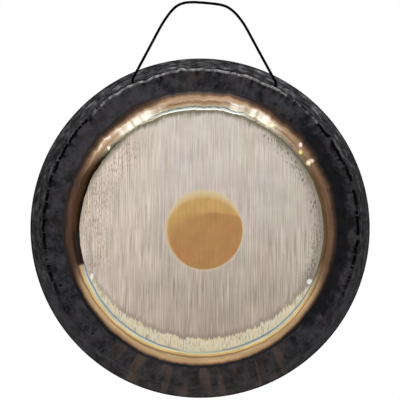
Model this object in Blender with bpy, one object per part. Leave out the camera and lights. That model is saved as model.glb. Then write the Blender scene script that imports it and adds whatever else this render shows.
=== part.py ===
"""Symphonic gong, 32 in across, hung on its cord.

The gong is one hammered sheet: a shallow domed face, a bend, and a rim that widens to the back.
One length of braided cord carries it. The cord runs from a stopper knot behind the left hole, over
whatever holds it up, to a stopper knot behind the right hole.

Metres, +Z up. The face looks along -Y. The origin is the underside of the cord at its top, straight
above the gong's centre, where a hook or a bar holds it. The plane Y = 0 goes through both holes.
"""

import math

import bmesh
import bpy
from mathutils import Matrix, Vector

# Gong sheet
GONG_DIAMETER = 0.8128
SHEET = 0.002
RIM_DEPTH = 0.072
RIM_FLARE = 0.0334
BEND_RADIUS = 0.005
FLANGE_WIDTH = 0.054
BAND_WIDTH = 0.033
SPOT_RADIUS = 0.0925
FLANGE_RISE = 0.002
BAND_RISE = 0.0045
DISC_RISE = 0.0051
GONG_STEPS = 96
BEND_PARTS = 4

# Holes for the cord, at angles from the top
HOLE_CLEARANCE = 0.0017
HOLE_SETBACK = 0.008
LEFT_HOLE_ANGLE = -25.3
RIGHT_HOLE_ANGLE = 27.9
HOLE_SIDES = 24

# Cord
CORD_DIAMETER = 0.006
CORD_SIDES_LEVEL = 3
HANG_DROP = 0.189
HOOK_LINE_DROP = 0.0192
EXIT_BEND = 2.2 * CORD_DIAMETER
EXIT_PARTS = 6
CORD_STEP = 2.3 * CORD_DIAMETER
KNOT_STEP = 0.32 * CORD_DIAMETER
FINE_STEP = 0.0005
GAP = 0.0003

# The cord's route over its support, as (x, z) in the plane of the holes, from left to right. It is
# measured from the cord's centreline straight above the gong's centre.
TOP_ROUTE = (
    (-0.0965, -0.0596),
    (-0.0851, -0.0409),
    (-0.0709, -0.0215),
    (-0.0567, -0.0083),
    (-0.0411, -0.0014),
    (-0.0199, 0.0009),
    (0.0000, 0.0000),
    (0.0248, -0.0021),
    (0.0447, -0.0048),
    (0.0596, -0.0091),
    (0.0709, -0.0158),
    (0.0851, -0.0289),
    (0.0993, -0.0471),
    (0.1070, -0.0596),
)

# A stopper knot's route in cord diameters: across the hole along the rim, towards the back, and out
# through the hole. It is an overhand knot, drawn up under the sheet, with a short tail.
KNOT_ROUTE = (
    (0.00, 0.00, -0.30),
    (0.00, 0.20, -1.10),
    (0.00, 0.42, -1.95),
    (0.18, 0.50, -2.70),
    (0.62, 0.50, -3.15),
    (1.18, 0.50, -3.28),
    (1.78, 0.50, -3.05),
    (2.20, 0.55, -2.50),
    (2.27, 0.72, -1.85),
    (1.98, 1.08, -1.15),
    (1.25, 1.48, -0.55),
    (0.25, 1.58, -0.18),
    (-0.72, 1.18, 0.00),
    (-1.22, 0.35, 0.00),
    (-1.00, -0.60, -0.25),
    (-0.30, -1.08, -0.72),
    (0.48, -0.90, -1.30),
    (0.98, -0.32, -1.80),
    (1.14, 0.45, -2.12),
    (1.14, 1.35, -2.22),
    (1.02, 2.40, -2.30),
    (0.85, 3.60, -2.45),
)


def clear_scene():
    for item in list(bpy.data.objects):
        bpy.data.objects.remove(item)


def make_material(name, colour, roughness, metallic):
    material = bpy.data.materials.new(name)
    material.use_nodes = True
    shader = material.node_tree.nodes["Principled BSDF"]
    shader.inputs["Base Color"].default_value = (*colour, 1.0)
    shader.inputs["Roughness"].default_value = roughness
    shader.inputs["Metallic"].default_value = metallic
    return material


def add_object(name, data, *materials):
    item = bpy.data.objects.new(name, data)
    bpy.context.scene.collection.objects.link(item)
    for material in materials:
        item.data.materials.append(material)
    return item


def add_pivot(name, place):
    """A guide on a hinge line, for what turns about it."""
    pivot = add_object(name, None)
    pivot.location = place
    pivot.empty_display_size = CORD_DIAMETER
    return pivot


def hang_from(pivot, *pieces):
    """Hangs pieces from a pivot, in the places they already have."""
    for piece in pieces:
        piece.parent = pivot
        piece.location -= pivot.location


def face_radius():
    """Where the face and the rim would meet if the bend were sharp."""
    return GONG_DIAMETER / 2 - RIM_FLARE


def disc_radius():
    return face_radius() - FLANGE_WIDTH - BAND_WIDTH


def rim_direction():
    """Along the rim towards its back edge, as (radius, depth)."""
    return Vector((RIM_FLARE, RIM_DEPTH)).normalized()


def rim_normal():
    """Out of the rim's outer side, as (radius, depth)."""
    along = rim_direction()
    return Vector((along.y, -along.x))


def hole_place():
    """The middle of a hole's wall, as (radius, depth behind the bend)."""
    corner = Vector((face_radius(), 0.0))
    return corner + rim_direction() * HOLE_SETBACK - rim_normal() * (SHEET / 2)


def gong_centre():
    """The gong's axis meets the plane of the bend here."""
    place = hole_place()
    height = place.x * math.cos(math.radians(LEFT_HOLE_ANGLE))
    return Vector((0.0, -place.y, -HANG_DROP - height))


def at(radius, depth, degrees):
    """A point of the gong, from its radius, its depth behind the bend and its angle from the top."""
    turn = math.radians(degrees)
    return gong_centre() + Vector((radius * math.sin(turn), depth, radius * math.cos(turn)))


def smooth_curve(points, step):
    """Points about step apart on a smooth curve through the given points."""
    points = [Vector(p) for p in points]
    ends = [2 * points[0] - points[1], *points, 2 * points[-1] - points[-2]]
    line = []
    for a, b, c, d in zip(ends, ends[1:], ends[2:], ends[3:]):
        t1 = math.sqrt((b - a).length)
        t2 = t1 + math.sqrt((c - b).length)
        t3 = t2 + math.sqrt((d - c).length)
        count = max(1, round((c - b).length / step))
        for i in range(count):
            t = t1 + (t2 - t1) * i / count
            ab = a.lerp(b, t / t1)
            bc = b.lerp(c, (t - t1) / (t2 - t1))
            cd = c.lerp(d, (t - t2) / (t3 - t2))
            abc = ab.lerp(bc, t / t2)
            bcd = bc.lerp(cd, (t - t1) / (t3 - t1))
            line.append(abc.lerp(bcd, (t - t1) / (t2 - t1)))
    line.append(points[-1])
    return line


def resampled(line, step):
    """The same line with its points evenly spaced, about step apart."""
    along = [0.0]
    for a, b in zip(line, line[1:]):
        along.append(along[-1] + (b - a).length)
    count = max(2, round(along[-1] / step))
    spaced = []
    index = 0
    for i in range(count + 1):
        goal = along[-1] * i / count
        while index < len(line) - 2 and along[index + 1] < goal:
            index += 1
        share = (goal - along[index]) / (along[index + 1] - along[index])
        spaced.append(line[index].lerp(line[index + 1], share))
    return spaced


def trimmed(line, amount):
    """The line without that length of its start."""
    left = amount
    for index, (a, b) in enumerate(zip(line, line[1:])):
        span = (b - a).length
        if span > left:
            return [a.lerp(b, left / span), *line[index + 1 :]]
        left -= span
    return line[-1:]


# Gong sheet


def front_profile():
    """The front and outer side of the sheet from the centre to the back edge, as (radius, depth)."""
    disc = disc_radius()
    foot = disc + BAND_WIDTH
    bend = face_radius() - bend_setback()
    profile = [Vector((0.0, -face_rise(0.0)))]
    for inner, outer, parts in (
        (0.0, SPOT_RADIUS, 2),
        (SPOT_RADIUS, disc, 4),
        (disc, foot, 4),
        (foot, bend, 3),
    ):
        for i in range(1, parts + 1):
            radius = inner + (outer - inner) * i / parts
            profile.append(Vector((radius, -face_rise(radius))))
    profile += bend_arc()
    profile.append(Vector((GONG_DIAMETER / 2, RIM_DEPTH)))
    return profile


def face_rise(radius):
    """How far the face stands in front of the bend: a sloping flange, a rounded step, a low dome."""
    disc = disc_radius()
    foot = disc + BAND_WIDTH
    rise = flange_slope() * (face_radius() - max(radius, foot))
    step = min(max((foot - radius) / BAND_WIDTH, 0.0), 1.0)
    rise += BAND_RISE * step * step * (3 - 2 * step)
    return rise + DISC_RISE * (1 - (min(radius, disc) / disc) ** 2)


def flange_slope():
    """Rise over width."""
    return FLANGE_RISE / FLANGE_WIDTH


def bend_turn():
    """How far the sheet turns at the bend, in radians."""
    along = rim_direction()
    return math.atan2(along.y, along.x) - math.atan(flange_slope())


def bend_setback():
    """From the sharp corner to where the bend starts, on the outside of the sheet."""
    return BEND_RADIUS * math.tan(bend_turn() / 2)


def bend_arc():
    """The outside of the bend, past its first point, as (radius, depth)."""
    slope = math.atan(flange_slope())
    start = Vector((face_radius() - bend_setback(), -flange_slope() * bend_setback()))
    centre = start + BEND_RADIUS * Vector((-math.sin(slope), math.cos(slope)))
    arc = []
    for i in range(1, BEND_PARTS + 1):
        turn = slope + bend_turn() * i / BEND_PARTS
        arc.append(centre + BEND_RADIUS * Vector((math.sin(turn), -math.cos(turn))))
    return arc


def back_profile(front):
    """The inner side of the sheet, from the back edge to the centre."""
    inner = []
    for index, point in enumerate(front[:-1]):
        before = front[max(index - 1, 0)]
        after = front[index + 1]
        if index == 0:
            normal = Vector((0.0, 1.0))
        else:
            along = ((after - point).normalized() + (point - before).normalized()).normalized()
            normal = Vector((-along.y, along.x))
        inner.append(point + normal * SHEET)
    edge = front[-1] - Vector((SHEET / rim_normal().x, 0.0))
    return [edge, *reversed(inner)]


def zone_of(radius):
    """Which finish the sheet has there: 0 scale, 1 heat tint, 2 brushed face, 3 centre spot."""
    if radius < SPOT_RADIUS:
        return 3
    if radius < disc_radius():
        return 2
    if radius < disc_radius() + BAND_WIDTH:
        return 1
    return 0


def facet_drop():
    """How far the middle of a flat facet of the rim lies inside the true round."""
    return face_radius() * (1 - math.cos(math.pi / GONG_STEPS))


def hole_cutter(name, degrees):
    """A cylinder through the rim, square to it."""
    mesh = bpy.data.meshes.new(name)
    shape = bmesh.new()
    bmesh.ops.create_cone(
        shape,
        cap_ends=True,
        segments=HOLE_SIDES,
        radius1=CORD_DIAMETER / 2 + HOLE_CLEARANCE,
        radius2=CORD_DIAMETER / 2 + HOLE_CLEARANCE,
        depth=3 * SHEET,
    )
    shape.to_mesh(mesh)
    shape.free()
    cutter = add_object(name, mesh)
    cutter.matrix_world = hole_frame(degrees)
    cutter.hide_render = True
    cutter.display_type = "WIRE"
    return cutter


def hole_frame(degrees):
    """A hole's place and axes: X along the rim, Y towards its back edge, Z out of it."""
    turn = math.radians(degrees)
    radial = Vector((math.sin(turn), 0.0, math.cos(turn)))
    back = Vector((0.0, 1.0, 0.0))
    along, normal = rim_direction(), rim_normal()
    z_axis = radial * normal.x + back * normal.y
    y_axis = radial * along.x + back * along.y
    x_axis = y_axis.cross(z_axis)
    place = hole_place()
    frame = Matrix((x_axis, y_axis, z_axis)).transposed().to_4x4()
    frame.translation = at(place.x, place.y, degrees)
    return frame


def build_gong_plate(materials):
    """The sheet, turned about the gong's axis and pierced by the two holes."""
    front = front_profile()
    profile = front + back_profile(front)
    shape = bmesh.new()
    ring = [shape.verts.new((point.x, point.y, 0.0)) for point in profile]
    edges = [shape.edges.new(pair) for pair in zip(ring, ring[1:])]
    bmesh.ops.spin(
        shape,
        geom=ring + edges,
        cent=(0.0, 0.0, 0.0),
        axis=(0.0, 1.0, 0.0),
        angle=math.tau,
        steps=GONG_STEPS,
        use_merge=True,
    )
    bmesh.ops.remove_doubles(shape, verts=shape.verts, dist=1e-6)
    bmesh.ops.recalc_face_normals(shape, faces=shape.faces)
    for face in shape.faces:
        middle = face.calc_center_median()
        face.material_index = zone_of(math.hypot(middle.x, middle.z))
    mesh = bpy.data.meshes.new("gong_plate")
    shape.to_mesh(mesh)
    shape.free()
    mesh.shade_smooth()
    mesh.set_sharp_from_angle(angle=math.radians(30.0))
    plate = add_object("gong_plate", mesh, *materials)
    plate.location = gong_centre()
    for side, degrees in (("left", LEFT_HOLE_ANGLE), ("right", RIGHT_HOLE_ANGLE)):
        cut = plate.modifiers.new(f"{side}_hole", "BOOLEAN")
        cut.operation = "DIFFERENCE"
        cut.object = hole_cutter(f"{side}_hole_cutter", degrees)
    return plate


# Cord


def exit_arc(degrees, goal):
    """Out of a hole and round towards the goal, from the middle of the hole's wall."""
    frame = hole_frame(degrees)
    start = frame.translation
    out = frame.col[2].to_3d()
    towards = goal - start
    side = (towards - out * towards.dot(out)).normalized()
    ahead, aside = towards.dot(out), towards.dot(side) - EXIT_BEND
    turn = math.atan2(aside, ahead) + math.asin(EXIT_BEND / math.hypot(ahead, aside))
    arc = []
    for i in range(EXIT_PARTS + 1):
        angle = turn * i / EXIT_PARTS
        arc.append(
            start
            + out * (EXIT_BEND * math.sin(angle))
            + side * (EXIT_BEND * (1 - math.cos(angle)))
        )
    return arc


def cord_route():
    """The cord's centreline from the left hole over the top to the right hole."""
    top = [Vector((x, 0.0, CORD_DIAMETER / 2 + z)) for x, z in TOP_ROUTE]
    left = exit_arc(LEFT_HOLE_ANGLE, top[0])
    right = exit_arc(RIGHT_HOLE_ANGLE, top[-1])
    left_leg = [left[-1].lerp(top[0], share) for share in (0.35, 0.7)]
    right_leg = [right[-1].lerp(top[-1], share) for share in (0.7, 0.35)]
    return smooth_curve([*left, *left_leg, *top, *right_leg, *reversed(right)], FINE_STEP)


def split_at_hook_line(line):
    """Left leg from its hole up, the bight, and right leg from its hole up. They part where the cord
    crosses the level about which it swings."""
    above = [i for i, point in enumerate(line) if point.z > -HOOK_LINE_DROP]
    first, last = above[0], above[-1]
    left_top = line[first - 1].lerp(
        line[first],
        (-HOOK_LINE_DROP - line[first - 1].z) / (line[first].z - line[first - 1].z),
    )
    right_top = line[last].lerp(
        line[last + 1],
        (-HOOK_LINE_DROP - line[last].z) / (line[last + 1].z - line[last].z),
    )
    left = [*line[:first], left_top]
    bight = [left_top, *line[first : last + 1], right_top]
    right = [right_top, *line[last + 1 :]]
    return left, bight, list(reversed(right))


def round_end(line):
    """Points that carry the line on past its start, and their radii, for an end like half a ball."""
    radius = CORD_DIAMETER / 2
    back = (line[0] - line[1]).normalized()
    points, radii = [], []
    for share in (0.97, 0.85, 0.65, 0.4):
        points.append(line[0] + back * radius * share)
        radii.append(math.sqrt(1 - share * share))
    return points, radii


def add_tube(name, line, radii, material):
    """A cord along the line. The radii are shares of the cord's own."""
    data = bpy.data.curves.new(name, "CURVE")
    data.dimensions = "3D"
    data.bevel_depth = CORD_DIAMETER / 2
    data.bevel_resolution = CORD_SIDES_LEVEL
    data.use_fill_caps = True
    data.twist_mode = "MINIMUM"
    spline = data.splines.new("POLY")
    spline.points.add(len(line) - 1)
    for point, place, radius in zip(spline.points, line, radii):
        point.co = (*place, 1.0)
        point.radius = radius
    return add_object(name, data, material)


def build_leg(name, line, material):
    """A leg of the cord, with a rounded end in its hole and at the level of the hooks, so that it can
    turn at both. The bend at the hole keeps its own close points."""
    close = resampled(line, CORD_DIAMETER / 2)
    reach = 2.2 * EXIT_BEND
    bend = [point for point in close if (point - line[0]).length < reach]
    rest = [point for point in close if (point - line[0]).length >= reach]
    body = bend + resampled(rest, CORD_STEP)
    low, low_radii = round_end(body)
    high, high_radii = round_end(list(reversed(body)))
    points = [*low, *body, *reversed(high)]
    radii = [*low_radii, *[1.0] * len(body), *reversed(high_radii)]
    return add_tube(name, points, radii, material)


def build_bight(line, material):
    """The top of the cord, cut square a gap away from each leg's rounded end."""
    inset = CORD_DIAMETER / 2 + GAP
    line = trimmed(line, inset)
    line = list(reversed(trimmed(list(reversed(line)), inset)))
    body = resampled(line, CORD_STEP / 2)
    return add_tube("cord_bight", body, [1.0] * len(body), material)


def least_gap(line, skip):
    """The least clear space between two stretches of one cord that lie further apart along it than
    skip."""
    best = math.inf
    for i, a in enumerate(line):
        for b in line[i + skip :]:
            best = min(best, (a - b).length)
    return best - CORD_DIAMETER


def build_knot(name, degrees, mirrored, material):
    """A stopper knot inside the rim, from just under the cord's rounded end to its cut tail."""
    frame = hole_frame(degrees)
    side = -1.0 if mirrored else 1.0
    seat = SHEET / 2 + facet_drop() + GAP + CORD_DIAMETER / 2
    start = CORD_DIAMETER / 2 + GAP
    route = [frame @ Vector((0.0, 0.0, -start))]
    for across, back, out in KNOT_ROUTE:
        place = Vector((side * across, back, out)) * CORD_DIAMETER
        route.append(frame @ (place - Vector((0.0, 0.0, seat))))
    line = resampled(smooth_curve(route, FINE_STEP), KNOT_STEP)
    neighbours = round(2.2 * CORD_DIAMETER / KNOT_STEP)
    print(f"{name}: least gap to itself {least_gap(line, neighbours) * 1000:.2f} mm")
    radii = [1.0] * (len(line) - 2) + [0.9, 0.6]
    return add_tube(name, line, radii, material)


def main():
    clear_scene()
    scale = make_material("black_scale", (0.028, 0.027, 0.030), 0.55, 0.6)
    tint = make_material("heat_tint", (0.44, 0.29, 0.15), 0.30, 1.0)
    brushed = make_material("brushed_face", (0.58, 0.51, 0.44), 0.35, 1.0)
    spot = make_material("centre_spot", (0.44, 0.24, 0.09), 0.40, 1.0)
    braid = make_material("cord", (0.012, 0.012, 0.013), 0.75, 0.0)

    swing = add_pivot("swing_pivot", (0.0, 0.0, -HOOK_LINE_DROP))
    tilt = add_pivot("tilt_pivot", hole_frame(LEFT_HOLE_ANGLE).translation)
    left, bight, right = split_at_hook_line(cord_route())
    build_bight(bight, braid)
    left_leg = build_leg("cord_left_leg", left, braid)
    right_leg = build_leg("cord_right_leg", right, braid)
    plate = build_gong_plate((scale, tint, brushed, spot))
    left_knot = build_knot("left_knot", LEFT_HOLE_ANGLE, False, braid)
    right_knot = build_knot("right_knot", RIGHT_HOLE_ANGLE, True, braid)
    hang_from(tilt, plate, left_knot, right_knot)
    hang_from(swing, left_leg, right_leg, tilt)


if __name__ == "__main__":
    main()
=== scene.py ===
"""Symphonic gong, 32 in across, hung on its braided cord.

Metres, +Z up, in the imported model's frame. The gong's face looks along -Y. The visible pieces are the
hammered sheet, the cord over the top, and its two stopper knots inside the rim.
"""

import math

import bmesh
import bpy
import numpy as np
from bpy.props import FloatProperty, FloatVectorProperty, IntProperty, PointerProperty
from mathutils import Matrix, Vector, noise


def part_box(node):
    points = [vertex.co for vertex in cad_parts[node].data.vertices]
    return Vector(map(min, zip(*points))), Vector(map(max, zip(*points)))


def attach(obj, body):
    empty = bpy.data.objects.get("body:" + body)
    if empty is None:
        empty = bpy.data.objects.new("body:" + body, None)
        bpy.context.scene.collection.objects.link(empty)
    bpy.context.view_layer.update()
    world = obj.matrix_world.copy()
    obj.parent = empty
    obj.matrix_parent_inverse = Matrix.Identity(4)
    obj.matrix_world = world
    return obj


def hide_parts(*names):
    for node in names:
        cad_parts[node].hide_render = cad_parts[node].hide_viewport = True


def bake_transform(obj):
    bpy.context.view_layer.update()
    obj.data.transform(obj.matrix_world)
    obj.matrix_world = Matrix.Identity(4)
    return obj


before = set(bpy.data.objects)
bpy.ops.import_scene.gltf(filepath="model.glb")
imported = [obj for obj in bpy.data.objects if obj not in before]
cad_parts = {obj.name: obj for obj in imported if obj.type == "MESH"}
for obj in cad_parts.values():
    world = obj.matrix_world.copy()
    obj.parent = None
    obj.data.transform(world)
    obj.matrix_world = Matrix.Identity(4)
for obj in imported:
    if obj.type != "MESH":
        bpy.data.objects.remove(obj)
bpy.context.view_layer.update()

bl_info = {
    "name": "Symphonic Gong",
    "version": (1, 0, 0),
    "blender": (4, 5, 0),
    "location": "3D View > Sidebar > Gong",
    "description": "Makes a hammered symphonic gong on its cord, around its packed model",
    "category": "Object",
}

PLATE_LOW, PLATE_HIGH = (Vector(corner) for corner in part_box("gong_plate"))
PICTURE_SIDE = 400

# The cord's route over its support, as (x, z) from the centreline straight above the gong's centre
TOP_ROUTE = (
    (-0.0965, -0.0596), (-0.0851, -0.0409), (-0.0709, -0.0215), (-0.0567, -0.0083),
    (-0.0411, -0.0014), (-0.0199, 0.0009), (0.0000, 0.0000), (0.0248, -0.0021),
    (0.0447, -0.0048), (0.0596, -0.0091), (0.0709, -0.0158), (0.0851, -0.0289),
    (0.0993, -0.0471), (0.1070, -0.0596),
)

# A stopper knot's route in cord diameters: across the hole, towards the back, and out of the hole
KNOT_ROUTE = (
    (0.00, 0.00, -0.30), (0.00, 0.20, -1.10), (0.00, 0.42, -1.95), (0.18, 0.50, -2.70),
    (0.62, 0.50, -3.15), (1.18, 0.50, -3.28), (1.78, 0.50, -3.05), (2.20, 0.55, -2.50),
    (2.27, 0.72, -1.85), (1.98, 1.08, -1.15), (1.25, 1.48, -0.55), (0.25, 1.58, -0.18),
    (-0.72, 1.18, 0.00), (-1.22, 0.35, 0.00), (-1.00, -0.60, -0.25), (-0.30, -1.08, -0.72),
    (0.48, -0.90, -1.30), (0.98, -0.32, -1.80), (1.14, 0.45, -2.12), (1.14, 1.35, -2.22),
    (1.02, 2.40, -2.30), (0.85, 3.60, -2.45),
)

# Tints as screen colours: of the band, the black oxide, the brushed disc, and the back and cord, among
# them painted highlights, reflections and shadows
TINTS = {
    "soot": (42, 41, 44), "deep soot": (26, 23, 25), "plum": (62, 56, 58),
    "lavender": (102, 92, 88), "umber": (60, 47, 41), "bark": (80, 62, 50),
    "chestnut": (86, 65, 53), "hazel": (80, 58, 45), "russet": (70, 49, 36),
    "peat": (52, 36, 23), "cocoa": (34, 22, 12), "black": (20, 12, 7), "walnut": (108, 83, 65),
    "olive": (93, 68, 43), "moss": (112, 98, 62), "copper": (138, 108, 82),
    "wine": (152, 116, 92), "rust": (166, 128, 98), "fawn": (146, 120, 96),
    "tan": (180, 150, 120), "rose": (188, 162, 136), "sand": (182, 153, 120),
    "apricot": (200, 160, 118), "biscuit": (206, 174, 130), "straw": (228, 194, 124),
    "pale gold": (230, 216, 172), "cream": (212, 212, 190), "mist": (190, 200, 192),
    "dun": (170, 152, 124), "stone": (160, 150, 130), "ash": (136, 128, 112),
    "sage": (144, 146, 132), "ice": (206, 216, 212), "shadow": (96, 90, 80),
    "dark_reflection": (40, 34, 30), "glare": (253, 247, 230), "teal": (60, 76, 76), "ink": (3, 3, 3),
    "left blue": (84, 120, 140), "right grey": (50, 56, 62), "right blue": (84, 116, 138),
    "heather": (68, 58, 67), "slate": (44, 48, 55), "brown soot": (66, 55, 50),
    "pitch": (26, 26, 28), "light soot": (74, 71, 76), "coal": (20, 19, 21),
    "stroke brown": (102, 86, 77), "warm soot": (64, 56, 54), "dent_shadow": (9, 8, 9),
    "crease": (13, 12, 13), "rim black": (2, 2, 3), "rim grey": (54, 54, 56),
    "rim light": (98, 98, 100),
    "dim metal": (172, 160, 149), "rosy metal": (196, 176, 166), "green metal": (192, 186, 165),
    "warm metal": (212, 197, 182), "side shade": (112, 103, 90), "brown dash": (134, 108, 90),
    "grey dash": (92, 84, 68), "top shade": (104, 97, 80), "dull metal": (128, 113, 92),
    "cream mark": (162, 148, 120), "warm cream": (224, 208, 170), "flare": (246, 240, 232),
    "gold": (188, 152, 90), "rosy gold": (180, 126, 86),
    "back brown": (112, 92, 72), "stain": (104, 80, 58), "scratch": (122, 104, 82),
    "worn cord": (16, 15, 16),
}

# Tints across the band in each part of its round, from 0 at its outer edge to 1 at the brushed disc:
# heat tints with painted reflections in them, darker on the left and right, pale at the bottom, and an
# ice-white painted highlight near the disc at the top
BAND_RAMPS = {
    "top": (
        (-0.30, "soot"), (-0.08, "plum"), (0.00, "lavender"), (0.06, "walnut"), (0.13, "copper"),
        (0.24, "tan"), (0.38, "rose"), (0.47, "wine"), (0.54, "copper"), (0.62, "sand"),
        (0.70, "dun"), (0.76, "sage"), (0.81, "sage"), (0.87, "ice"), (0.91, "ice"),
        (0.96, "ash"), (1.00, "shadow"),
    ),
    "shoulder": (
        (-0.30, "soot"), (-0.04, "umber"), (0.11, "bark"), (0.20, "walnut"), (0.30, "fawn"),
        (0.40, "tan"), (0.50, "tan"), (0.62, "wine"), (0.75, "dun"), (0.87, "stone"),
        (0.96, "ash"), (1.00, "shadow"),
    ),
    "left": (
        (-0.30, "soot"), (0.00, "umber"), (0.12, "bark"), (0.25, "chestnut"), (0.37, "hazel"),
        (0.50, "russet"), (0.62, "russet"), (0.75, "peat"), (0.87, "cocoa"), (1.00, "black"),
    ),
    "right": (
        (-0.30, "deep soot"), (-0.04, "umber"), (0.10, "bark"), (0.25, "walnut"),
        (0.60, "walnut"), (0.75, "olive"), (0.87, "olive"), (0.94, "moss"), (1.00, "moss"),
    ),
    "bottom": (
        (-0.30, "soot"), (-0.06, "soot"), (0.02, "bark"), (0.10, "copper"), (0.20, "apricot"),
        (0.33, "biscuit"), (0.50, "biscuit"), (0.58, "rust"), (0.63, "rust"), (0.69, "straw"),
        (0.76, "straw"), (0.84, "pale gold"), (0.92, "cream"), (1.00, "mist"),
    ),
}

# Painted highlight streaks on the band: from and to which angle and share, seed of their spots, and
# strength
HIGHLIGHT_STREAKS = (
    (-52.0, -39.0, 0.30, 0.45, 1.0, 0.62),
    (-40.0, -20.0, 0.40, 0.86, 3.0, 0.92),
    (13.0, 36.0, 0.36, 0.80, 5.0, 0.88),
)

# Glints of the band: place on the face, half width and half height, and screen colour
GLINTS = (
    ((0.2347, 0.1938), (0.0050, 0.0060), (250, 222, 214)),
    ((0.2347, 0.1762), (0.0045, 0.0060), (232, 222, 130)),
    ((0.2535, 0.1515), (0.0065, 0.0065), (255, 240, 200)),
    ((0.2617, 0.1562), (0.0055, 0.0045), (246, 224, 214)),
    ((0.1671, 0.2390), (0.0070, 0.0045), (255, 248, 190)),
    ((-0.2170, 0.1856), (0.0035, 0.0055), (240, 226, 190)),
)

# Painted highlights on the brushed disc's edge, low on each side: place, half width and half height
HIGHLIGHT_FLARES = (
    ((-0.2560, -0.1160), (0.0040, 0.0070)),
    ((0.2551, -0.1290), (0.0070, 0.0065)),
)

# Thin lines along the edge of the brushed disc: from and to which angle, tint and strength
EDGE_LINES = (
    (-84.0, -44.0, "ink", 0.85),
    (-170.0, -107.0, "left blue", 0.80),
    (38.0, 116.0, "right grey", 0.70),
    (116.0, 170.0, "right blue", 0.80),
)

# Temper tints of the flange: tint, spots to a metre, seed, and the noise from which they show
FLANGE_TINTS = (
    ("heather", 20.0, 4.0, 0.53),
    ("slate", 24.0, 9.0, 0.56),
    ("brown soot", 19.0, 15.0, 0.57),
    ("pitch", 26.0, 21.0, 0.54),
)

# Dents and swellings of the bend from the hammer: angle from the top, height, half width in degrees
CREST_BUMPS = (
    (-28.0, 0.0022, 2.0),
    (-20.5, -0.0028, 3.5),
    (-7.2, 0.0042, 1.6),
    (29.0, 0.0020, 2.0),
)

# Distance from the middle of each hole within which the visible sheet stays true
HOLE_CLEAR = 0.011

# The deepest blacks, as linear values: at the rim's back edge, and the painted shadow in the dents
# beside the bend
EDGE_BLACK = (0.001, 0.001, 0.001)
DENT_SHADOW = (0.001, 0.001, 0.0012)

# Lamps: place, width, height and watts
LAMPS = {
    "overhead": ((0.0, -1.2, 1.55), 2.4, 1.2, 22.0),
    "upper_left": ((-0.80, -3.5, 0.45), 0.6, 0.4, 1.4),
    "upper_right": ((0.72, -3.5, 0.50), 0.32, 0.26, 0.9),
}

# Steps of the visible sheet: round the gong, and from its middle to the rim's back edge
TURNS = 768
DISC_ROWS = 28
LIP_ROWS = 6
BAND_ROWS = 12
FLANGE_ROWS = 18
BEND_ROWS = 8
RIM_ROWS = 20
BEND_ROW = DISC_ROWS + LIP_ROWS + BAND_ROWS + FLANGE_ROWS + BEND_ROWS // 2 - 1
EDGE_EASE = 0.00035
FRONT_SLOT, BACK_SLOT, EDGE_SLOT = range(3)

# The braid's mesh, and the depth and height of its strands as shares of the cord's radius
BRAID_STEP = 0.00055
BRAID_SIDES = 30
BRAID_DEPTH = 0.04
BRAID_PROUD = 0.07

# How far a cord's end reaches in radii, how much it swells, and how round it is
END_SHAPES = {"round": (1.0, 1.0, 1.0), "sealed": (0.35, 1.05, 0.5)}

# The camera, the size of a pixel at the gong, and the outline's middle in pixels from the picture's
CAMERA_DISTANCE = 4.0
CAMERA_LEFT = 0.08
CAMERA_BELOW = 0.085
PIXEL = 0.0023559
OUTLINE_RIGHT = 0.40
OUTLINE_BELOW = 27.52
FLOOR_LEVEL = -1.24
FLOOR_RADIUS = 7.0


def screen_colour(red, green, blue):
    """A colour given as it looks on screen, from 0 to 255, as linear values."""
    shares = [level / 255 for level in (red, green, blue)]
    return tuple(s / 12.92 if s <= 0.04045 else ((s + 0.055) / 1.055) ** 2.4 for s in shares)


def tinted(tint):
    """A tint's colour by its name. A colour that has none stays as it is."""
    return screen_colour(*TINTS[tint]) if isinstance(tint, str) else tint


def length(name, description, default):
    """A size in metres."""
    return FloatProperty(
        name=name, description=description, default=default, unit="LENGTH", precision=4
    )


def angle(name, description, degrees):
    """An angle, given in degrees."""
    turn = math.radians(degrees)
    return FloatProperty(name=name, description=description, default=turn, subtype="ANGLE")


def colour(name, description, *screen):
    """A colour, given as it looks on screen."""
    limits = {"size": 3, "subtype": "COLOR", "min": 0.0, "max": 1.0}
    default = screen_colour(*screen)
    return FloatVectorProperty(name=name, description=description, default=default, **limits)


def place(name, description, right, up):
    """A place or half sizes on the face, measured from the gong's centre."""
    return FloatVectorProperty(
        name=name, description=description, default=(right, up), size=2, unit="LENGTH"
    )


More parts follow.
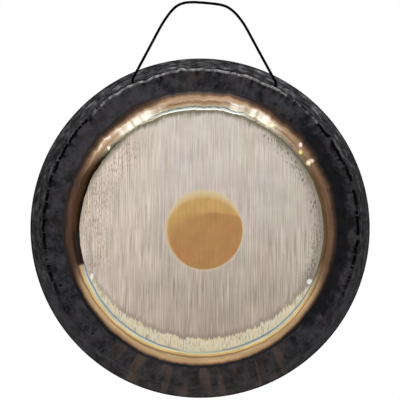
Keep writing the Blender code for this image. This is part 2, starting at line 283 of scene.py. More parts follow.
class GongSizes(bpy.types.PropertyGroup):
    """Sizes of the gong and its cord."""

    diameter: length("Diameter", "Across the rim's back edge", PLATE_HIGH.x - PLATE_LOW.x)
    sheet: length("Sheet", "Thickness of the metal", 0.002)
    rim_depth: length("Rim depth", "From the bend to the rim's back edge", 0.072)
    rim_flare: length("Rim flare", "How much wider the rim is at its back edge", 0.0334)
    bend_radius: length("Bend radius", "Outside of the bend between face and rim", 0.005)
    flange_rise: length("Flange rise", "How far the flange slopes forward", 0.002)
    flange_width: length("Flange width", "Width of the black flange", 0.054)
    band_rise: length("Band rise", "Height of the step across the tinted band", 0.0045)
    disc_rise: length("Disc rise", "Height of the dome inside the band", 0.0051)
    lip_rise: length("Lip rise", "Height of the lip beside the brushed disc", 0.0013)
    lip_width: length("Lip width", "Width of the lip beside the brushed disc", 0.0045)
    crest_waver: length("Crest waver", "How far the bend wanders from a true circle", 0.0032)
    hammer_mark: length("Hammer mark", "Width of one hammer mark on the flange", 0.027)
    hammer_depth: length("Hammer depth", "Depth of one hammer mark on the flange", 0.00045)
    hole_clearance: length("Hole clearance", "Between the cord and its hole's edge", 0.0017)
    hole_setback: length("Hole setback", "From the bend to the middle of a hole", 0.008)
    left_hole: angle("Left hole", "Angle of the left hole from the top", -25.3)
    right_hole: angle("Right hole", "Angle of the right hole from the top", 27.9)
    cord: length("Cord", "Thickness of the cord", 0.006)
    cord_pitch: length("Braid pitch", "Length in which a strand goes once round", 0.017)
    cord_strands: IntProperty(
        name="Braid strands", description="Strands in each direction of the braid", default=6, min=3
    )
    disc_centre: place("Disc centre", "Middle of the brushed disc", 0.0018, -0.0087)
    disc_radii: place("Disc radii", "Half sizes of the brushed disc", 0.2865, 0.2839)
    band_centre: place("Band centre", "Middle of the band's outer edge", -0.0006, -0.0042)
    band_radii: place("Band radii", "Half sizes of the band's outer edge", 0.3170, 0.3210)
    brush_centre: place("Brushing centre", "Middle of the brushed strokes", 0.0018, 0.0440)
    brush_radii: place("Brushing radii", "Half sizes of the brushed strokes", 0.3080, 0.3080)
    spot_centre: place("Spot centre", "Middle of the centre spot", 0.0072, -0.0078)
    spot_radii: place("Spot radii", "Half sizes of the centre spot", 0.0912, 0.0936)
    ember_centre: place("Ember centre", "Middle of the spot's darker part", 0.0323, -0.1132)
    ember_radii: place("Ember radii", "Half sizes of that part", 0.1459, 0.1459)


class GongColours(bpy.types.PropertyGroup):
    """Colours of the gong and its cord."""

    scale: colour("Scale", "Black oxide of the flange", 64, 63, 66)
    scale_dark: colour("Dark scale", "Blotches on the flange", 26, 25, 27)
    rim: colour("Rim", "Black oxide of the rim's side", 28, 28, 30)
    # wear_and_highlight: bare metal along the bend, partly wear and partly painted highlight
    wear_and_highlight: colour("Wear", "Metal rubbed bare along the bend", 128, 126, 126)
    brushed: colour("Brushed", "Brushed face, upper part", 199, 188, 180)
    # brushed_low_shade: the brushed face's lower part, darker by painted shade
    brushed_low_shade: colour("Brushed low", "Brushed face, lower part", 174, 160, 146)
    brushed_ring: colour("Brushed ring", "Duller metal along the top of the disc", 122, 116, 98)
    # cream: the unbrushed crescent, its pale colour partly a painted reflection of the floor
    cream: colour("Cream", "Unbrushed crescent under the disc", 216, 208, 184)
    spot_light: colour("Light spot", "Upper part of the centre spot", 192, 155, 100)
    spot_dark: colour("Dark spot", "Lower part of the centre spot", 172, 131, 84)
    halo: colour("Halo", "Pale edge of the spot", 214, 196, 162)
    back: colour("Back", "Oxide on the back of the sheet", 52, 46, 42)
    back_disc: colour("Back disc", "Scraped middle of the back", 150, 128, 102)
    bare: colour("Bare edge", "Ground edge of the sheet", 176, 160, 132)
    cord: colour("Cord", "Braid of the cord", 6, 6, 7)
    floor: colour("Floor", "Plain pale floor", 236, 236, 236)


# Shape of the sheet


def face_radius(sizes):
    """Where the face and the rim would meet if the bend were sharp."""
    return sizes.diameter / 2 - sizes.rim_flare


def flange_slope(sizes):
    return sizes.flange_rise / sizes.flange_width


def rim_axes(sizes):
    """Along the rim towards its back edge, and out of its outer side, as (radius, depth)."""
    along = Vector((sizes.rim_flare, sizes.rim_depth)).normalized()
    return along, Vector((along.y, -along.x))


def gong_centre(sizes):
    """The gong's axis meets the plane of the bend here."""
    middle = (PLATE_LOW + PLATE_HIGH) / 2
    return Vector((middle.x, PLATE_HIGH.y - sizes.rim_depth, middle.z))


def hole_frame(sizes, turn):
    """A hole's place and axes: X along the rim, Y towards its back edge, Z out of it."""
    radial = Vector((math.sin(turn), 0.0, math.cos(turn)))
    back = Vector((0.0, 1.0, 0.0))
    along, normal = rim_axes(sizes)
    z_axis = radial * normal.x + back * normal.y
    y_axis = radial * along.x + back * along.y
    spot = Vector((face_radius(sizes), 0.0)) + along * sizes.hole_setback
    spot -= normal * (sizes.sheet / 2)
    matrix = Matrix((y_axis.cross(z_axis), y_axis, z_axis)).transposed().to_4x4()
    matrix.translation = gong_centre(sizes) + radial * spot.x + back * spot.y
    return matrix


def eased(share):
    share = np.clip(share, 0.0, 1.0)
    return share * share * (3 - 2 * share)


def steps(count):
    """Shares of a whole, from the first of so many steps to the last."""
    return [i / count for i in range(1, count + 1)]


def on_circle(turn, radii=1.0, depths=0.0):
    """Points at these angles from the top, on circles about the gong's axis."""
    return np.stack([radii * np.sin(turn), depths + 0 * radii * turn, radii * np.cos(turn)], axis=-1)


def noise_at(points, scale, seed=0.0):
    """Smooth noise between about -1 and 1 at each point."""
    shift = Vector((seed, 1.7 * seed, -0.6 * seed))
    values = [noise.noise(Vector(point) * scale + shift) for point in points.reshape(-1, 3)]
    return np.reshape(values, points.shape[:-1])


def cell_marks(points, size):
    """Round hammer marks: 0 in the middle of each mark and 1 at the ridges between them."""
    marks = []
    for point in points.reshape(-1, 3):
        nearest = noise.voronoi(Vector(point) / size)[0][0]
        marks.append(min(nearest / 0.62, 1.0) ** 2)
    return np.reshape(marks, points.shape[:-1])


def polar_radius(centre, radii, turn):
    """How far an oval reaches from the gong's axis, at an angle from the top."""
    across, up = np.sin(turn), np.cos(turn)
    a = (across / radii[0]) ** 2 + (up / radii[1]) ** 2
    b = -2 * (across * centre[0] / radii[0] ** 2 + up * centre[1] / radii[1] ** 2)
    c = (centre[0] / radii[0]) ** 2 + (centre[1] / radii[1]) ** 2 - 1
    return (-b + np.sqrt(b * b - 4 * a * c)) / (2 * a)


def disc_edge(sizes, turn):
    """The brushed disc's edge at each angle, a little uneven, most at the top."""
    circle = on_circle(turn)
    waver = 0.0030 * noise_at(circle, 11.0, 1.0) + 0.0014 * noise_at(circle, 29.0, 4.0)
    top = 0.35 + 0.65 * eased((np.cos(turn) - 0.1) / 0.6)
    return polar_radius(sizes.disc_centre, sizes.disc_radii, turn) + waver * top


def band_edge(sizes, turn):
    """The tinted band's outer edge at each angle, unevenly hammered, most at the top."""
    circle = on_circle(turn)
    waver = 0.0042 * noise_at(circle, 7.0, 12.0) + 0.0034 * noise_at(circle, 22.0, 7.0)
    top = 0.35 + 0.65 * eased((np.cos(turn) + 0.2) / 0.7)
    return polar_radius(sizes.band_centre, sizes.band_radii, turn) + waver * top


def band_step(sizes, share, from_disc):
    """Height of the step across the band: a gentle slope, and a lip beside the brushed disc."""
    lip = sizes.lip_rise * eased(1.0 - from_disc / sizes.lip_width)
    return (sizes.band_rise - sizes.lip_rise) * eased(share) + lip


def bend_arc(sizes, parts):
    """The outside of the bend, as (radius, depth) from the flange to the rim."""
    slope = math.atan(flange_slope(sizes))
    along = rim_axes(sizes)[0]
    turn = math.atan2(along.y, along.x) - slope
    setback = sizes.bend_radius * math.tan(turn / 2)
    start = Vector((face_radius(sizes) - setback, -flange_slope(sizes) * setback))
    centre = start + sizes.bend_radius * Vector((-math.sin(slope), math.cos(slope)))
    angles = [slope + turn * i / parts for i in range(parts + 1)]
    return [centre + sizes.bend_radius * Vector((math.sin(a), -math.cos(a))) for a in angles]


def front_rows(sizes, turn):
    """The front and outer side row by row, as radii and depths for each angle."""
    disc, band = disc_edge(sizes, turn), band_edge(sizes, turn)
    arc = bend_arc(sizes, BEND_ROWS)
    edge = Vector((sizes.diameter / 2, sizes.rim_depth - EDGE_EASE))
    slope, corner = flange_slope(sizes), face_radius(sizes)
    foot_rise = slope * (corner - band)
    top_rise = foot_rise + sizes.band_rise
    rows = []
    for share in steps(DISC_ROWS):
        rise = top_rise.mean() * (1 - share**4) + top_rise * share**4
        rows.append((disc * share, -(rise + sizes.disc_rise * (1 - share * share))))
    lip = sizes.lip_width * 1.1
    band_radii = [disc + lip * share for share in steps(LIP_ROWS)]
    band_radii += [disc + lip + (band - disc - lip) * share for share in steps(BAND_ROWS)]
    for radius in band_radii:
        share = (band - radius) / (band - disc)
        rows.append((radius, -(foot_rise + band_step(sizes, share, radius - disc))))
    for share in steps(FLANGE_ROWS):
        radius = band + (arc[0].x - band) * share
        rows.append((radius, -slope * (corner - radius)))
    for point in arc[1:] + [arc[-1].lerp(edge, share) for share in steps(RIM_ROWS)]:
        rows.append((np.full_like(turn, point.x), np.full_like(turn, point.y)))
    return np.array([row[0] for row in rows]), np.array([row[1] for row in rows])


def inward_normals(radii, depths):
    """Into the metal from each point of the front, as (radius, depth)."""
    along_r = np.gradient(radii, axis=0)
    along_d = np.gradient(depths, axis=0)
    size = np.hypot(along_r, along_d)
    return -along_d / size, along_r / size


def apart(turn, other):
    """The angle between two directions, from -pi to pi."""
    return (turn - other + math.pi) % math.tau - math.pi


def sheet_relief(sizes, radii, depths, turn):
    """Hammering of each point, outwards from the true surface, the bend's wander in radius, and
    the facts about each point that the finish follows."""
    points, circle = on_circle(turn, radii, depths), on_circle(turn)
    corner = face_radius(sizes)
    disc, band = disc_edge(sizes, turn), band_edge(sizes, turn)

    in_disc = eased((disc - radii) / 0.010)
    on_rim = eased((depths - 0.004) / 0.006)
    on_flange = eased((radii - band) / 0.006) * (1 - on_rim)
    on_band = np.clip(1 - in_disc - on_flange - on_rim, 0.0, 1.0)
    fade_back = 1 - eased((depths - 0.052) / 0.018)

    drift = [noise_at(points, 26.0, 40.0), 0 * depths, noise_at(points, 26.0, 50.0)]
    uneven = points + 0.011 * np.stack(drift, axis=-1)
    marks = cell_marks(uneven * (1.0, 0.6, 1.0), sizes.hammer_mark)
    dents = cell_marks(uneven + 0.31, 0.016)
    slow = noise_at(points, 14.0, 3.0)
    middling = noise_at(points, 45.0, 9.0)
    band_waves = noise_at(circle, 9.0, 5.0) + 0.8 * noise_at(circle, 19.0, 8.0)

    # Creases run from the bend down the flange, and further down in some places
    reach = 0.013 + 0.014 * noise_at(circle, 27.0, 31.0)
    inside = np.clip((corner - radii) / reach, 0.0, None)
    near_bend = np.exp(-(inside**4)) * (1 - eased(depths / 0.006))
    creases = np.clip((noise_at(circle, 40.0, 11.0) - 0.09) * 7.0, 0.0, 1.0) * near_bend

    relief = in_disc * 0.00025 * slow + on_band * 0.00035 * band_waves - 0.0007 * creases
    relief += on_flange * (sizes.hammer_depth * (marks - 0.5) + 0.0006 * slow + 0.00035 * middling)
    relief += on_rim * fade_back * (0.0003 * (dents - 0.5) + 0.0005 * slow)

    wander = 0.9 * noise_at(circle, 21.0, 2.0) + 0.7 * noise_at(circle, 6.0, 6.0)
    wander = sizes.crest_waver * (wander + 0.35 * noise_at(circle, 50.0, 14.0))
    for degrees, height, width in CREST_BUMPS:
        away = apart(turn, math.radians(degrees)) / math.radians(width)
        wander += height * np.exp(-(away**2))
    for hole in (sizes.left_hole, sizes.right_hole):
        clear = 1 - np.exp(-((apart(turn, hole) * corner / HOLE_CLEAR) ** 4))
        wander *= clear
        relief *= np.where(depths > 0, clear, 1.0)
    wander = wander * eased((radii - corner + 0.026) / 0.022) * (1 - eased(depths / 0.045))

    strides = np.hypot(np.diff(radii, axis=0), np.diff(depths, axis=0))
    along = np.concatenate([np.zeros((1, len(turn))), np.cumsum(strides, axis=0)])
    facts = {
        "past_disc": radii - disc,
        "in_band": np.where(on_rim > 0, -0.05, band - radii),
        "from_bend": along - along[BEND_ROW],
        "hollow": np.where(depths > 0.004, dents, marks),
        "crease": creases,
    }
    return relief, wander, facts


def sheet_mesh(sizes):
    """The sheet as one closed skin: front, back edge and back, turned about the gong's axis."""
    turn = np.arange(TURNS) * math.tau / TURNS
    radii, depths = front_rows(sizes, turn)
    in_r, in_d = inward_normals(radii, depths)
    relief, wander, facts = sheet_relief(sizes, radii, depths, turn)
    front_r = radii - in_r * relief + wander
    front_d = depths - in_d * relief
    back_r = front_r + in_r * sizes.sheet
    back_d = front_d + in_d * sizes.sheet

    inner_edge = front_r[-1] - sizes.sheet / rim_axes(sizes)[1].x
    back_r[-1], back_d[-1] = inner_edge, front_d[-1]
    edge_depth = np.full(TURNS, sizes.rim_depth)
    rings = list(zip(front_r, front_d))
    edge_first = len(rings)
    rings += [(front_r[-1] - EDGE_EASE, edge_depth), (inner_edge + EDGE_EASE, edge_depth)]
    back_first = len(rings)
    rings += list(zip(back_r[::-1], back_d[::-1]))

    verts = np.concatenate([on_circle(turn, ring_r, ring_d) for ring_r, ring_d in rings]).tolist()
    middle = len(verts)
    verts.append([0.0, float(front_d[0].mean()) - 0.00001, 0.0])
    verts.append([0.0, float(back_d[0].mean()), 0.0])
    ring_slots = [FRONT_SLOT] * (edge_first - 1) + [EDGE_SLOT] * (back_first - edge_first + 1)
    ring_slots += [BACK_SLOT] * (len(rings) - 1 - len(ring_slots))
    faces, slots = [], []
    last = (len(rings) - 1) * TURNS
    for i in range(TURNS):
        j = (i + 1) % TURNS
        faces.append((middle, i, j))
        for a in range(0, last, TURNS):
            faces.append((a + i, a + TURNS + i, a + TURNS + j, a + j))
        faces.append((last + j, last + i, middle + 1))
        slots += [FRONT_SLOT, *ring_slots, BACK_SLOT]
    mesh = bpy.data.meshes.new("gong_sheet")
    mesh.from_pydata(verts, [], faces)
    mesh.polygons.foreach_set("material_index", slots)
    for name, values in facts.items():
        both = np.concatenate([values, values[-1:], values[-1:], values[::-1]])
        middles = [values[0].mean()] * 2
        fact = mesh.attributes.new(name, "FLOAT", "POINT")
        fact.data.foreach_set("value", np.append(both.ravel(), middles).astype(np.float32))
    mesh.update()
    return mesh


def outward(mesh):
    """Turns every face of a closed mesh to look outwards."""
    shape = bmesh.new()
    shape.from_mesh(mesh)
    bmesh.ops.recalc_face_normals(shape, faces=shape.faces)
    shape.to_mesh(mesh)
    shape.free()


def add_piece(name, data):
    """An object with this mesh, camera or lamp, in the scene."""
    piece = bpy.data.objects.new(name, data)
    bpy.context.scene.collection.objects.link(piece)
    return piece


def built_mesh(name, build, **sizes):
    """A mesh built by one of bmesh's makers of plain shapes."""
    shape = bmesh.new()
    build(shape, cap_ends=True, **sizes)
    mesh = bpy.data.meshes.new(name)
    shape.to_mesh(mesh)
    shape.free()
    return mesh


def pierce(piece, sizes):
    """Cuts the two holes through the rim and gives their walls the back's finish."""
    radius = sizes.cord / 2 + sizes.hole_clearance
    cylinder = {"segments": 40, "radius1": radius, "radius2": radius, "depth": 5 * sizes.sheet}
    holes = [hole_frame(sizes, turn) for turn in (sizes.left_hole, sizes.right_hole)]
    cutters = []
    for hole in holes:
        mesh = built_mesh("hole_cutter", bmesh.ops.create_cone, **cylinder)
        cutter = add_piece("hole_cutter", mesh)
        cutter.matrix_world = hole
        cutters.append(cutter)
        cut = piece.modifiers.new("hole", "BOOLEAN")
        cut.operation = "DIFFERENCE"
        cut.solver = "EXACT"
        cut.object = cutter
    bpy.context.view_layer.update()
    graph = bpy.context.evaluated_depsgraph_get()
    cut_mesh = bpy.data.meshes.new_from_object(piece.evaluated_get(graph))
    piece.modifiers.clear()
    whole = piece.data
    piece.data = cut_mesh
    cut_mesh.name = "gong_sheet"
    bpy.data.meshes.remove(whole)
    for cutter in cutters:
        mesh = cutter.data
        bpy.data.objects.remove(cutter)
        bpy.data.meshes.remove(mesh)
    centre = gong_centre(sizes)
    for hole in holes:
        to_hole = hole.inverted()
        for face in cut_mesh.polygons:
            local = to_hole @ (face.center + centre)
            away = math.hypot(local.x, local.y)
            if away < radius * 1.002 and abs(local.z) < 2 * sizes.sheet:
                face.material_index = BACK_SLOT


# Cord


def smooth_curve(points, step):
    """Points about step apart on a smooth curve through the given points."""
    points = [Vector(p) for p in points]
    ends = [2 * points[0] - points[1], *points, 2 * points[-1] - points[-2]]
    line = []
    for a, b, c, d in zip(ends, ends[1:], ends[2:], ends[3:]):
        t1 = math.sqrt((b - a).length)
        t2 = t1 + math.sqrt((c - b).length)
        t3 = t2 + math.sqrt((d - c).length)
        count = max(1, round((c - b).length / step))
        for i in range(count):
            t = t1 + (t2 - t1) * i / count
            ab = a.lerp(b, t / t1)
            bc = b.lerp(c, (t - t1) / (t2 - t1))
            cd = c.lerp(d, (t - t2) / (t3 - t2))
            abc = ab.lerp(bc, t / t2)
            bcd = bc.lerp(cd, (t - t1) / (t3 - t1))
            line.append(abc.lerp(bcd, (t - t1) / (t2 - t1)))
    line.append(points[-1])
    return line


def run_of(line):
    """The line's length."""
    return sum((b - a).length for a, b in zip(line, line[1:]))


def resampled(line, step):
    """The same line with its points evenly spaced, about step apart."""
    along = [0.0]
    for a, b in zip(line, line[1:]):
        along.append(along[-1] + (b - a).length)
    count = max(2, round(along[-1] / step))
    spaced = []
    index = 0
    for i in range(count + 1):
        goal = along[-1] * i / count
        while index < len(line) - 2 and along[index + 1] < goal:
            index += 1
        share = (goal - along[index]) / (along[index + 1] - along[index])
        spaced.append(line[index].lerp(line[index + 1], share))
    return spaced


def exit_arc(sizes, turn, goal):
    """Out of a hole and round towards the goal, from the middle of the hole's wall."""
    hole = hole_frame(sizes, turn)
    radius = 2.2 * sizes.cord
    start = hole.translation
    out = hole.col[2].to_3d()
    towards = goal - start
    side = (towards - out * towards.dot(out)).normalized()
    ahead, aside = towards.dot(out), towards.dot(side) - radius
    bend = math.atan2(aside, ahead) + math.asin(radius / math.hypot(ahead, aside))
    angles = [0.0] + [bend * share for share in steps(6)]
    arc = []
    for turned in angles:
        spot = start + out * (radius * math.sin(turned))
        arc.append(spot + side * (radius * (1 - math.cos(turned))))
    return arc


def cord_route(sizes):
    """The cord's centreline from the left hole over the top to the right hole."""
    top = [Vector((x, 0.0, sizes.cord / 2 + z)) for x, z in TOP_ROUTE]
    left = exit_arc(sizes, sizes.left_hole, top[0])
    right = exit_arc(sizes, sizes.right_hole, top[-1])
    left_leg = [left[-1].lerp(top[0], share) for share in (0.35, 0.7)]
    right_leg = [right[-1].lerp(top[-1], share) for share in (0.7, 0.35)]
    return smooth_curve([*left, *left_leg, *top, *right_leg, *reversed(right)], 0.0005)


def knot_route(sizes, turn, side):
    """A stopper knot's centreline, from inside its hole to the end of its tail."""
    hole = hole_frame(sizes, turn)
    facet_drop = face_radius(sizes) * (1 - math.cos(math.pi / 96))
    seat = sizes.sheet / 2 + facet_drop + 0.0003 + sizes.cord / 2
    route = [hole @ Vector((0.0, 0.0, -0.0013))]
    for across, back, out in KNOT_ROUTE:
        step = Vector((side * across, back, out)) * sizes.cord
        route.append(hole @ (step - Vector((0.0, 0.0, seat))))
    return smooth_curve(route, 0.0005)


def braid_height(sizes, around, along):
    """Height of the braid at an angle round the cord and a length along it, from 0 to 1."""
    turns = sizes.cord_strands * around / math.tau
    travel = sizes.cord_strands * along / sizes.cord_pitch
    one, other = np.sin(math.pi * (turns + travel)), np.sin(math.pi * (turns - travel))
    over = 0.5 + 0.5 * np.clip(1.6 * one * other, -1.0, 1.0)
    return np.maximum(np.abs(one) * (0.45 + 0.55 * over), np.abs(other) * (1.0 - 0.55 * over))


def carried_frames(line):
    """Two directions square to the line at each point, turned as little as can be along it."""
    side = (line[1] - line[0]).normalized().orthogonal().normalized()
    frames = []
    for before, after in zip([line[0], *line], [*line[1:], line[-1]]):
        ahead = (after - before).normalized()
        side = (side - ahead * side.dot(ahead)).normalized()
        frames.append((side, ahead.cross(side)))
    return frames


def braided_tube(name, sizes, line, ends):
    """A braided cord along the line, its crests a little proud of the cord's own thickness. Each
    end is "round" or "sealed", as the tail's melted tip."""
    line = resampled(line, BRAID_STEP)
    frames = carried_frames(line)
    radius = sizes.cord / 2
    around = np.arange(BRAID_SIDES) * math.tau / BRAID_SIDES

    def ring(point, pair, share, along, depth):
        height = braid_height(sizes, around, along)
        radii = radius * share * (1 + BRAID_PROUD + depth * (height - 0.75))
        side = np.outer(np.cos(around), pair[0]) + np.outer(np.sin(around), pair[1])
        return np.array(point) + side * radii[:, None]

    def cap(point, before, pair, along, kind):
        """Rings that close an end, from the cord's full width to its tip."""
        reach, swell, roundness = END_SHAPES[kind]
        direction = (point - before).normalized()
        closing = []
        for step in range(1, 7):
            turn = math.pi / 2 * step / 6.5
            spot = point + direction * (radius * reach * math.sin(turn))
            share = swell * math.cos(turn) ** roundness
            closing.append(ring(spot, pair, share, along, BRAID_DEPTH * 0.4))
        return closing

    total = run_of(line)
    rings = cap(line[0], line[1], frames[0], 0.0, ends[0])[::-1]
    for i, (point, pair) in enumerate(zip(line, frames)):
        rings.append(ring(point, pair, 1.0, i * total / (len(line) - 1), BRAID_DEPTH))
    rings += cap(line[-1], line[-2], frames[-1], total, ends[1])

    verts = np.concatenate(rings).tolist()
    faces = []
    last = len(verts) - BRAID_SIDES
    for a in range(0, last, BRAID_SIDES):
        for i in range(BRAID_SIDES):
            j = (i + 1) % BRAID_SIDES
            faces.append((a + i, a + j, a + BRAID_SIDES + j, a + BRAID_SIDES + i))
    faces += [tuple(reversed(range(BRAID_SIDES))), tuple(range(last, len(verts)))]
    mesh = bpy.data.meshes.new(name)
    mesh.from_pydata(verts, [], faces)
    mesh.update()
    outward(mesh)
    mesh.shade_smooth()
    return add_piece(name, mesh)


# Materials


def sign(operation, swapped=False):
    """A sign of arithmetic for what nodes give."""

    def apply(self, other):
        pair = (other, self) if swapped else (self, other)
        return self.finish.math(operation, *pair)

    return apply


class Value:
    """What a node gives. It adds and multiplies as plain numbers do."""

    __add__ = __radd__ = sign("ADD")
    __mul__ = __rmul__ = sign("MULTIPLY")
    __sub__ = sign("SUBTRACT")
    __rsub__ = sign("SUBTRACT", swapped=True)
    __truediv__ = sign("DIVIDE")
    __pow__ = sign("POWER")

    def __init__(self, finish, socket):
        self.finish = finish
        self.socket = socket

    def ease(self, low, high, start=0.0, end=1.0):
        """Start up to low, end from high on, and a smooth turn between them."""
        inputs = dict(enumerate((self, low, high, start, end)))
        return self.finish.node("ShaderNodeMapRange", inputs, interpolation_type="SMOOTHSTEP")

    def window(self, low, high, edge):
        """1 between low and high, and 0 outside them, over an edge of that width."""
        half = edge / 2
        return self.ease(low - half, low + half) * self.ease(high - half, high + half, 1.0, 0.0)

    def turn(self, low, high, start=0.0, end=1.0):
        """An ease over an angle, from and to which degree."""
        return self.ease(math.radians(low), math.radians(high), start, end)

    def arc(self, low, high, edge):
        """A window over an angle, from and to which degree, its edge in radians."""
        return self.window(math.radians(low), math.radians(high), edge)

    def about(self, size):
        """Noise about 0.5 as noise from about -size to size."""
        return (self - 0.5) * (2.0 * size)


class Finish:
    """One material's nodes, with short ways to add and join them."""

    def __init__(self, name):
        self.material = bpy.data.materials.new(name)
        self.material.use_nodes = True
        self.nodes = self.material.node_tree.nodes
        self.links = self.material.node_tree.links
        self.shader = self.nodes["Principled BSDF"]
        self.place = self.node("ShaderNodeTexCoord", {}, "Object")

    def feed(self, socket, value):
        """Joins an input to another node, or gives it a plain value or a tint."""
        if isinstance(value, Value):
            self.links.new(value.socket, socket)
        elif socket.type == "RGBA":
            socket.default_value = (*tinted(value), 1.0)
        else:
            socket.default_value = value

    def node(self, kind, inputs, output=0, **settings):
        """What a new node gives, its inputs fed by their names or numbers."""
        node = self.nodes.new(kind)
        for key, setting in settings.items():
            setattr(node, key, setting)
        for key, value in inputs.items():
            self.feed(node.inputs[key], value)
        return Value(self, node.outputs[output])

    def math(self, operation, *values):
        return self.node("ShaderNodeMath", dict(enumerate(values)), operation=operation)

    def vector(self, operation, *values):
        return self.node("ShaderNodeVectorMath", dict(enumerate(values)), operation=operation)

    def fact(self, name):
        """A fact that the mesh holds about each of its points."""
        return self.node("ShaderNodeAttribute", {}, "Fac", attribute_name=name)

    def mixed(self, share, first, second, blend="MIX"):
        """First where share is 0, second where it is 1, as colours."""
        inputs = {0: share, 6: first, 7: second}
        return self.node("ShaderNodeMix", inputs, 2, data_type="RGBA", blend_type=blend)

    def shaded(self, tone, shade):
        return self.mixed(1.0, tone, self.joined(shade, shade, shade), "MULTIPLY")

    def between(self, share, first, second):
        """First where share is 0, second where it is 1, as numbers."""
        return self.node("ShaderNodeMix", {0: share, 2: first, 3: second}, data_type="FLOAT")

    def split(self, vector):
        node = self.nodes.new("ShaderNodeSeparateXYZ")
        self.feed(node.inputs[0], vector)
        return [Value(self, output) for output in node.outputs]

    def joined(self, x, y, z):
        return self.node("ShaderNodeCombineXYZ", {0: x, 1: y, 2: z})

    def noise(self, vector, scale, detail=2.0, roughness=0.5):
        """Smooth noise about 0.5."""
        inputs = {"Vector": vector, "Scale": scale, "Detail": detail, "Roughness": roughness}
        return self.node("ShaderNodeTexNoise", inputs)

    def patches(self, scale, detail=2.0, shift=(0.0, 0.0, 0.0), roughness=0.5):
        """Noise in round patches, so many to a metre."""
        return self.noise(self.vector("ADD", self.place, shift), scale, detail, roughness)

    def strokes(self, across, down, detail=2.0, roughness=0.5, shift=(0.0, 0.0, 0.0)):
        """Noise in upright strokes, so many to a metre across and down the face."""
        space = self.vector("MULTIPLY_ADD", self.place, (across, 0.0, down), shift)
        return self.noise(space, 1.0, detail, roughness)

    def ramp(self, share, stops):
        """Colours along a share, each stop a share and a tint."""
        low, high = stops[0][0], stops[-1][0]
        node = self.nodes.new("ShaderNodeValToRGB")
        self.feed(node.inputs[0], self.node("ShaderNodeMapRange", {0: share, 1: low, 2: high}))
        elements = node.color_ramp.elements
        while len(elements) < len(stops):
            elements.new(0.5)
        for element, (spot, tint) in zip(elements, stops):
            element.position = (spot - low) / (high - low)
            element.color = (*tinted(tint), 1.0)
        return Value(self, node.outputs[0])

    def finish(self, height=None, **inputs):
        """Feeds the shader's inputs, named with _ for a space, and its relief where it has one."""
        if height is not None:
            relief = {"Height": height, "Distance": 1.0, "Strength": 1.0}
            inputs["Normal"] = self.node("ShaderNodeBump", relief)
        for key, value in inputs.items():
            self.feed(self.shader.inputs[key.replace("_", " ")], value)
        return self.material


class SheetFinish(Finish):
    """A finish of the sheet. It knows where each point lies: its angle, and its place in each zone."""

    def __init__(self, name):
        super().__init__(name)
        self.x, self.y, self.z = self.split(self.place)
        self.radius = self.math("MAXIMUM", self.oval((0.0, 0.0), (1.0, 1.0)), 0.001)
        self.angle = self.math("ARCTAN2", self.x, self.z)
        self.turned = self.math("ABSOLUTE", self.angle)
        self.across = self.x / self.radius
        self.up = self.z / self.radius
        self.circle = self.joined(self.across, 0.0, self.up)
        self.past_disc = self.fact("past_disc")
        self.from_bend = self.fact("from_bend")
        self.hollow = self.fact("hollow")
        self.crease = self.fact("crease")
        in_band = self.fact("in_band") + self.around(60.0, 3.0).about(0.0014)
        self.share = in_band / self.math("MAXIMUM", in_band + self.past_disc, 0.004)

    def oval(self, centre, radii):
        """Distance from an oval's middle, 1 on its edge."""
        across = (self.x - centre[0]) / radii[0]
        up = (self.z - centre[1]) / radii[1]
        return self.math("SQRT", across**2.0 + up**2.0)

    def past_oval(self, centre, radii):
        """About how far a point lies outside an oval, by its mean half size to a millimetre."""
        return (self.oval(centre, radii) - 1.0) * round(sum(radii) / 2, 3)

    def around(self, scale, detail=2.0, shift=(0.0, 0.0, 0.0)):
        """Noise that changes round the gong, with so many cells to a radian."""
        return self.noise(self.vector("ADD", self.circle, shift), scale, detail)

    def spokes(self, around, out, seed=0.0, detail=2.0):
        """Noise with so many cells to a radian round the gong, and to a metre outwards."""
        outwards = self.radius * out + seed
        return self.noise(self.joined(self.across * around, outwards, self.up * around), 1.0, detail)


def band_parts(f):
    """Heat tints across the band, one set for each part of its round, with painted reflections: darker
    on the sides, black on the left just below halfway down, paler at the bottom.
    """
    wander = f.around(8.0).about(0.13) + f.around(26.0, 3.0).about(0.09)
    share = f.share + wander * f.share.ease(0.0, 0.3) * f.share.ease(0.80, 1.0, 1.0, 0.0)
    lower = f.turned.turn(146.0, 172.0, 0.12, 0.0) + f.angle.arc(100.0, 132.0, 0.3) * -0.12
    places = {"bottom": f.share + f.share * lower}
    tones = {name: f.ramp(places.get(name, share), stops) for name, stops in BAND_RAMPS.items()}

    angle = f.angle + f.around(5.0).about(0.10)
    start, end = math.radians(-107.5), math.radians(-60.0)
    soft_start = f.angle.ease(start - 0.25, start + 0.05)
    sharp_start = f.angle.ease(start - 0.015, start + 0.015)
    top_end = f.share.ease(0.2, 1.0) * 0.25 + end
    left = f.between(f.share.ease(0.45, 0.65), soft_start, sharp_start)
    shares = {
        "shoulder": f.math("ABSOLUTE", angle).turn(13.0, 26.0),
        "bottom": f.turned.turn(101.0, 120.0),
        "right": angle.turn(32.0, 74.0) * angle.turn(103.0, 130.0, 1.0, 0.0),
        "left": left * (angle - top_end).ease(-0.22, 0.14, 1.0, 0.0),
    }
    tone = tones["top"]
    for name, part in shares.items():
        tone = f.mixed(part, tone, tones[name])
    # Painted dark reflection: the band's inner half turns black on the left, just below halfway down
    dark_reflection = f.angle.arc(-107.5, -92.0, 0.03) * f.share.ease(0.46, 0.56)
    return f.mixed(dark_reflection * 0.85, tone, "dark_reflection"), share, angle


